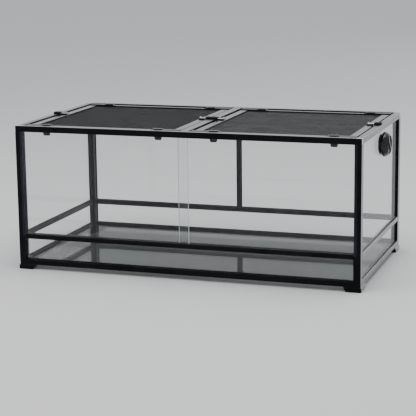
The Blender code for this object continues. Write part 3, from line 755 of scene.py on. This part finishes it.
def keeper(x_wall, x_mouth, x_deep):
    """Socket for a bolt: a solid block from x_wall to x_deep and an arch from there to x_mouth."""
    base, roof, half, bore = 0.5046, 0.5088, 0.012, 0.0075
    under, over = [0.0008] * 2, [0.0028] * 2
    block = filleted(rectangle(-half, base, half, KEEPER_TOP), under + over, 5)
    arch = filleted([(-half, base), (-bore, base), (-bore, roof), (bore, roof), (bore, base),
                     (half, base), (half, KEEPER_TOP), (-half, KEEPER_TOP)],
                    under + [0.0004] * 2 + under + over, 5)
    low, high = sorted((x_wall, x_deep))
    near, far = sorted((x_deep, x_mouth))
    return raised(block, low, high, along_x, 0.0006, 3), raised(arch, near, far, along_x, 0.0006, 3)


def build_top():
    """Top rails with a ledge for the lids, the corners between them, the keepers and the crossbeam."""
    ledge = [(CORNER, LEDGE_UNDER), (CORNER, LEDGE_TOP), (RAIL_WALL, LEDGE_TOP), (RAIL_WALL, TOP), (0, TOP)]
    front = [(0, RAIL_UNDER), (0.003, RAIL_UNDER), (0.003, 0.4925), (0.023, 0.4925), (0.023, RAIL_UNDER),
             (0.026, RAIL_UNDER), (0.026, LEDGE_UNDER)] + ledge
    plain = [(0, RAIL_UNDER), (RAIL_WALL, RAIL_UNDER), (RAIL_WALL, LEDGE_UNDER)] + ledge
    part("top_rail_front", rail("front", front, HALF_X - CORNER - GAP, 0.0010), finish=CREST)
    part("top_rail_back", rail("back", plain, HALF_X - CORNER - GAP, 0.0012), finish=CREST)
    for side, sign in (("left", -1), ("right", 1)):
        part(f"top_rail_{side}", rail(side, plain, HALF_Y - CORNER - GAP, 0.0012), finish=CREST)
        x = sign * HALF_X
        make(f"keeper_{side}", "enclosure", "frame_black",
             join(*keeper(x - sign * 0.003, x - sign * 0.027, x - sign * 0.019)), [KEEPER])
    for end_y in ("front", "back"):
        for end_x in ("left", "right"):
            part(f"top_corner_{end_y}_{end_x}", *top_corner(end_y, end_x), finish=CREST)
    build_beam()


def top_corner(end_y, end_x):
    """L-shaped top over a square shelf; the front ones have a slotted block below for the door track."""
    slotted = [(0, 0), (CORNER, 0), (CORNER, 0.0048), (0.018, 0.0048), (0.018, 0.0212),
               (CORNER, 0.0212), (CORNER, CORNER), (0, CORNER)]
    radii = [0.0022, 0.001, 0.001, 0.001, 0.001, 0.001]
    wall, bevel, cut = RAIL_WALL, 0.033, 0.0352
    upper = filleted([(0, 0), (CORNER, 0), (CORNER, wall), (wall, wall), (wall, CORNER), (0, CORNER)], radii)
    shelf = filleted([(0, 0), (CORNER, 0), (CORNER, bevel), (cut, cut), (bevel, CORNER), (0, CORNER)], radii)
    place = level_place(up_corner(end_y, end_x))
    under = TRACK_ROOF if end_y == "front" else RAIL_UNDER
    rows = [(shelf, 0, under), (shelf, 0, LEDGE_TOP - 0.0004), (shelf, 0.0004, LEDGE_TOP),
            (upper, 0, LEDGE_TOP), (upper, 0, TOP - 0.0008), (upper, 0.0003, TOP - 0.0002),
            (upper, 0.0009, TOP)]
    skins = [through(np.stack([place(*inset(o, d).T, z) for o, d, z in rows]))]
    if end_y == "front":
        outline = filleted(slotted, [0.0022] + [0.0006] * 7)
        skins.append(raised(outline, RAIL_UNDER, TRACK_ROOF, up_corner(end_y, end_x), 0.0003, 3))
    return skins


def build_beam():
    """Crossbeam between the lids, a ledge on each side and a double keeper on top."""
    over, under = HALF_Y - RAIL_WALL - GAP, HALF_Y - CORNER - GAP
    half, wide = 0.014, 0.030
    low = [(-half, RAIL_UNDER), (half, RAIL_UNDER), (half, LEDGE_UNDER), (wide, LEDGE_UNDER),
           (wide, LEDGE_TOP), (-wide, LEDGE_TOP), (-wide, LEDGE_UNDER), (-half, LEDGE_UNDER)]
    high = filleted(rectangle(-half, LEDGE_TOP + GAP, half, TOP), [0.0008, 0.0008, 0.0016, 0.0016])
    part("crossbeam", raised(filleted(low, 0.0010), -under, under, along_y, 0.0005, 3),
         raised(high, -over, over, along_y, 0.0005, 3), finish=CREST)
    left, right = keeper(0.0, -0.021, -0.013), keeper(0.0, 0.021, 0.013)
    make("keeper_beam", "enclosure", "frame_black", join(*left, *right), [KEEPER])


# --- Rotary vent -------------------------------------------------------------

def vent_place(a, b, c):
    """Shapes made about an axis, laid on the vent's axis: height runs out along +X."""
    return np.stack([HALF_X - 0.006 + c, VENT_Y + b, VENT_Z - a], 1)


def sector(r0, r1, middle, width, low, high, rim=0.0003):
    """Ring sector between two radii, raised from low to high."""
    t = np.linspace(-0.5, 0.5, 9) * width + middle
    outline = np.concatenate([np.stack([r1 * np.cos(t), r1 * np.sin(t)], 1),
                              np.stack([r0 * np.cos(t[::-1]), r0 * np.sin(t[::-1])], 1)])
    return raised(outline, low, high, vent_place, rim, 2)


def slotted_disc(hub, low, high, rim):
    """Hub, rim and six spokes, with the slots between them."""
    bevel, sink, wide = 0.0004, 0.00005, math.radians(33)
    spokes = [sector(hub - 0.0006, 0.0271, math.radians(45 + 60 * i), wide, low + sink, high - sink)
              for i in range(6)]
    ring = turned_loop([(0.0265, low), (rim, low), (rim, high - bevel), (rim - bevel, high), (0.0265, high)],
                       vent_place, 72)
    disc = turned([(0, low), (hub, low), (hub, high - 0.0003), (hub - 0.0003, high), (0, high)],
                  vent_place, 48)
    return [*spokes, ring, disc]


def build_vent():
    """Domed housing through the pane, its nut inside, and the shutter with a grip bar.

    The dome's outline at angle t is (42.5 cos t, 2 + 32.2 sin t) mm.
    """
    t = np.linspace(0.0, 0.72, 11)
    dome = np.stack([0.0425 * np.cos(t), 0.0020 + 0.0322 * np.sin(t)], 1).tolist()
    tube = [(0.0280, -0.0125), (0.0310, -0.0125), (0.0310, GAP), (0.0418, GAP), (0.0425, 0.0010)]
    seat = [(0.0310, 0.0222), (0.0310, 0.0203), (0.0330, 0.0203), (0.0330, 0.0172), (0.0280, 0.0172)]
    shell = turned_loop(filleted(tube + dome + seat, 0.0003, 2), vent_place, 96)
    make("vent_body_piece", "enclosure", "vent_black",
         join(shell, *slotted_disc(0.0120, 0.0142, 0.0172, 0.0284)), [VENT], ("vent_body",))
    t = np.arange(144) * math.pi / 72
    lobes = 0.0357 + 0.0008 * np.cos(18 * t)
    outer = np.stack([lobes * np.cos(t), lobes * np.sin(t)], 1)
    nut = holed(outer, circle(0.0314, 144), -0.0105, -0.0053, vent_place, 0.0008)
    make("vent_nut_piece", "enclosure", "vent_black", nut, [VENT], ("vent_nut",))
    c, s = math.cos(math.radians(45)), math.sin(math.radians(45))
    bar = filleted(rectangle(-0.0280, -0.0034, 0.0280, 0.0034), 0.0033, 6) @ np.array([[c, s], [-s, c]])
    grip = raised(bar, 0.0197, 0.0238, vent_place, 0.0012, 4)
    make("vent_shutter_piece", "vent_shutter", "dial_black",
         join(*slotted_disc(0.0120, 0.0175, 0.0200, 0.0326), grip), [DIAL], ("vent_shutter",))


# --- Lids --------------------------------------------------------------------

def screen(x0, x1, y_end, low):
    """Crossed straight wires of square section.

    Wire i of one set lies at start + i times the pitch and runs the whole way;
    the other set crosses it half a thickness higher.
    """
    pitch, thick, margin = 0.0016, 0.00045, 0.0008

    def bars(start, end, reach0, reach1, level, swap):
        count = int(round((end - start) / pitch)) + 1
        middle = np.linspace(start, end, count)[:, None]
        corner = np.array([(-1, -1), (1, -1), (1, 1), (-1, 1)] * 2) * thick / 2
        run = np.array([reach0] * 4 + [reach1] * 4)[None] + 0 * middle
        points = np.stack([middle + corner[:, 0], run, level + corner[:, 1] + 0 * middle], -1)
        if swap:
            points = points[..., [1, 0, 2]]
        box = np.array([(0, 1, 5, 4), (1, 2, 6, 5), (2, 3, 7, 6), (3, 0, 4, 7), (3, 2, 1, 0), (4, 5, 6, 7)])
        corners = box[None] + 8 * np.arange(count)[:, None, None]
        return points.reshape(-1, 3), corners.ravel(), np.full(6 * count, 4), np.zeros(6 * count, int)
    warp = bars(x0 + margin, x1 - margin, -y_end, y_end, low + 0.00035, False)
    weft = bars(-y_end + margin, y_end - margin, x0, x1, low + 0.00080, True)
    return join(warp, weft)


def frame_ring(x0, x1, y_end, width, low, high, radius):
    """Rectangular ring just inside a window."""
    box = (x0, -y_end, x1, y_end)
    inner = filleted(shrunk(box, width), max(radius - width, 0.0004))
    return holed(filleted(rectangle(*box), radius), inner, low, high, upright, 0.0003)


def drilled_block(x0, x1, y0, y1, spot, low, high, radius=0.0040):
    """Block with a round hole at spot."""
    mid = np.array([(x0 + x1) / 2, (y0 + y1) / 2])
    outer, inner = matched(abs(x1 - x0) / 2, abs(y1 - y0) / 2, tuple(np.array(spot) - mid), radius, 48)
    return holed(outer + mid, inner + mid, low, high, upright, 0.0006)


def build_lid(side, sign):
    """Lid frame of strips and corner joiners, its screen, four knobs and two bolts.

    sign is -1 for the left lid and 1 for the right one.
    """
    body = f"lid_{side}"
    outer, inner = sign * LID_OUTER, sign * LID_INNER
    x_out, x_in = sign * WINDOW_OUTER, sign * WINDOW_INNER
    low = LEDGE_TOP + GAP
    spots = {"outer": sign * KNOB_OUTER_X, "inner": sign * KNOB_INNER_X}
    ends = (("outer", outer, -sign), ("inner", inner, sign))

    def bar(x0, x1, y0, y1, z0=low, z1=STRIP_TOP, rim=0.0010):
        (x0, x1), (y0, y1) = sorted((x0, x1)), sorted((y0, y1))
        return raised(filleted(rectangle(x0, y0, x1, y1), 0.0012), z0, z1, upright, rim, 4)

    reach = WINDOW_END_Y - GAP
    strips = [bar(outer, x_out, -reach, reach), bar(inner, x_in, -reach, reach)]
    joiners = []
    for end in (-1, 1):
        x0, x1 = spots["outer"] - sign * 0.0213, spots["inner"] + sign * 0.0213
        strips.append(bar(x0, x1, end * WINDOW_END_Y, end * LID_END_Y))
        for spot, edge, way in ends:
            hole = (spots[spot], end * (HALF_Y - KNOB_IN))
            joiners.append(drilled_block(edge - way * 0.003, spots[spot] + way * 0.021,
                                         end * WINDOW_END_Y, end * 0.298, hole, low, JOINER_TOP))
    x0, x1 = sorted((x_out, x_in))
    lip = frame_ring(x0 - 0.0004, x1 + 0.0004, WINDOW_END_Y + 0.0004, 0.0034, low, 0.4962, 0.0008)
    carriers = [bar(edge + way * 0.001, edge + way * 0.024, -0.008, 0.008, 0.5015, BOLT_LOW - GAP, 0.0004)
                for _, edge, way in ends]
    make(f"lid_frame_{side}_piece", body, "frame_black", join(*strips, lip, *carriers), [LID],
         (f"lid_frame_{side}",))
    make(f"lid_joiners_{side}", body, "frame_black", join(*joiners), [JOINER])
    inside = (x0 + GAP, x1 - GAP, WINDOW_END_Y - GAP)
    spline = frame_ring(*inside, 0.0026, 0.4978, 0.4990, 0.0008)
    make(f"screen_spline_{side}", body, "frame_black", spline, [KEEPER])
    make(f"lid_mesh_{side}_piece", body, "mesh_grey", screen(*inside, 0.4965), [WIRE[side]],
         (f"lid_mesh_{side}",))
    stem = [(0, 0.5050), (0.0018, 0.5050), (0.0018, 0.5086), (0.0028, 0.5086), (0.0028, 0.5091),
            (0.0024, 0.5096), (0.0014, 0.5099), (0, 0.5100)]
    rivets = [turned(stem, about(edge + way * 0.0075, 0.0), 24) for _, edge, way in ends]
    make(f"bolt_rivets_{side}", body, "bolt_grey", join(*rivets), [RIVET])
    for spot, x in spots.items():
        for end_y, end in (("front", -1), ("back", 1)):
            build_knob(f"knob_{side}_{end_y}_{spot}", x, end * (HALF_Y - KNOB_IN))
    for spot, edge, way in ends:
        build_bolt(f"bolt_{side}_{spot}", edge, way)


def build_knob(name, x, y):
    """Flat oval turn plate with a finger recess, on a shaft with a long lug.

    The rim at angle t is (17 cos t, 13.4 sin t) mm. Rays from the centre at the
    same angles meet the round-ended recess, and the plate lies between the two.
    """
    t = np.arange(96) * math.pi / 48
    outer = np.stack([0.0170 * np.cos(t), 0.0134 * np.sin(t)], 1)
    half, wide, least = 0.0050, 0.0025, 1e-6
    along, over = np.maximum(np.abs(np.cos(t)), least), np.maximum(np.abs(np.sin(t)), least)
    reach = np.minimum(half / along, wide / over)
    slot = np.stack([reach * np.cos(t), reach * np.sin(t)], 1)
    round_end = half + np.sqrt(np.maximum(wide ** 2 - slot[:, 1] ** 2, 0))
    at_end = np.abs(slot[:, 0]) >= half - least
    slot[:, 0] = np.where(at_end, np.sign(slot[:, 0]) * round_end, slot[:, 0])
    place = about(x, y)
    head = holed(outer, slot, KNOB_LOW, 0.5072, place, 0.0005)
    ring = holed(outer * 0.90, outer * 0.84, 0.5068, 0.5076, place, 0.0002)
    floor = raised(circle(0.0100, 48), 0.5052, 0.5060, place, 0.0002, marks=(1, 1))
    shaft = raised(circle(0.0037, 24), 0.4860, 0.5056, place, 0.0002)
    rows = [(0.4685, 0.0098, 0.0030), (0.4693, 0.0105, 0.0038), (0.4745, 0.0120, 0.0045),
            (0.4790, 0.0120, 0.0045), (0.4871, 0.0120, 0.0045), (0.4877, 0.0114, 0.0039)]
    lifted = level_place(place)
    rings = [lifted(*filleted(rectangle(-a, -b, a, b), 0.0015).T, z) for z, a, b in rows]
    # Painted shade: the lug takes the duller keeper finish instead of the knob's own, so it stays dark under
    # the rail.
    lug = through(np.stack(rings), (1, 1))
    make(f"{name}_piece", name, "knob_black", join(head, ring, floor, shaft, lug), [KNOB, KEEPER], (name,))


def build_bolt(name, edge, way):
    """Flat bolt with a round-ended slot for its rivet and a turned-up finger lip."""
    def span(t0, t1):
        return sorted((edge + way * t0, edge + way * t1))
    half, slot_half = 0.007, 0.0021
    x0, x1 = span(-0.0025, 0.0205)
    left, right = (0.0020, 0.0008) if way > 0 else (0.0008, 0.0020)
    outer = filleted(rectangle(x0, -half, x1, half), [left, right, right, left], 6)
    s0, s1 = span(0.0054, 0.0166)
    inner = filleted(rectangle(s0, -slot_half, s1, slot_half), 0.0020, 6)
    plate = holed(outer, inner, BOLT_LOW, BOLT_TOP, upright, 0.0003)
    l0, l1 = span(0.0180, 0.0205)
    lip = filleted(rectangle(l0, BOLT_TOP - 0.0005, l1, KEEPER_TOP), 0.0008, 4)
    tab = raised(lip, -half, half, along_y, 0.0006, 3)
    make(f"{name}_piece", name, "bolt_grey", join(plate, tab), [BOLT], (name,))


# --- Floor, light and camera -------------------------------------------------

def build_stage():
    """Wide pale floor, an even room light, a soft light overhead, one at the front and one far behind."""
    reach = 90.0
    mesh = bpy.data.meshes.new("studio_floor")
    mesh.from_pydata([(-reach, -reach, 0), (reach, -reach, 0), (reach, reach, 0), (-reach, reach, 0)], [],
                     [(0, 1, 2, 3)])
    floor = bpy.data.objects.new("studio_floor", mesh)
    bpy.context.collection.objects.link(floor)
    finish = Finish("pale_floor")
    paint = finish.surface(base_color=(0.64, 0.64, 0.645), roughness=0.80, ior=1.15)
    mesh.materials.append(finish.done(paint))
    world = bpy.data.worlds.new("soft_room")
    bpy.context.scene.world = world
    world.use_nodes = True
    back = world.node_tree.nodes["Background"]
    back.inputs["Color"].default_value = (0.96, 0.98, 1.0, 1.0)
    back.inputs["Strength"].default_value = 0.85
    for name, place, size, power in (("overhead", (0.4, -0.3, 4.2), (4.0, 2.5), 130.0),
                                     ("front_key", (-2.6, -3.6, 3.2), (2.0, 2.0), 45.0),
                                     ("far_right", (5.2, 6.4, 1.6), (7.0, 2.6), 190.0)):
        light = bpy.data.lights.new(name, "AREA")
        light.shape = "RECTANGLE"
        light.size, light.size_y = size
        light.energy = power
        lamp = bpy.data.objects.new(name, light)
        bpy.context.collection.objects.link(lamp)
        lamp.location = place
        aim = Vector((0, 0, 0.25)) - Vector(place)
        lamp.rotation_euler = aim.to_track_quat("-Z", "Y").to_euler()


def build_camera():
    """Camera held at azimuth 18.6 degrees to the right of the front and tilted 11.6 degrees down."""
    az, el, ro = (math.radians(v) for v in (-18.600, -11.587, -0.693))
    forward = Vector((math.sin(az) * math.cos(el), math.cos(az) * math.cos(el), math.sin(el)))
    flat = Vector((math.cos(az), -math.sin(az), 0.0))
    rise = flat.cross(forward)
    right = math.cos(ro) * flat + math.sin(ro) * rise
    up = -math.sin(ro) * flat + math.cos(ro) * rise
    data = bpy.data.cameras.new("camera")
    data.lens = 121.187
    data.sensor_width = 36.0
    camera = bpy.data.objects.new("camera", data)
    bpy.context.collection.objects.link(camera)
    turn = Matrix((right, up, -forward)).transposed().to_4x4()
    camera.matrix_world = Matrix.Translation((1.541175, -4.636981, 1.186564)) @ turn
    bpy.context.scene.camera = camera


build_base()
build_posts()
build_mid_rails()
build_tracks()
build_glass()
build_top()
build_vent()
build_lid("left", -1)
build_lid("right", 1)
build_stage()
build_camera()
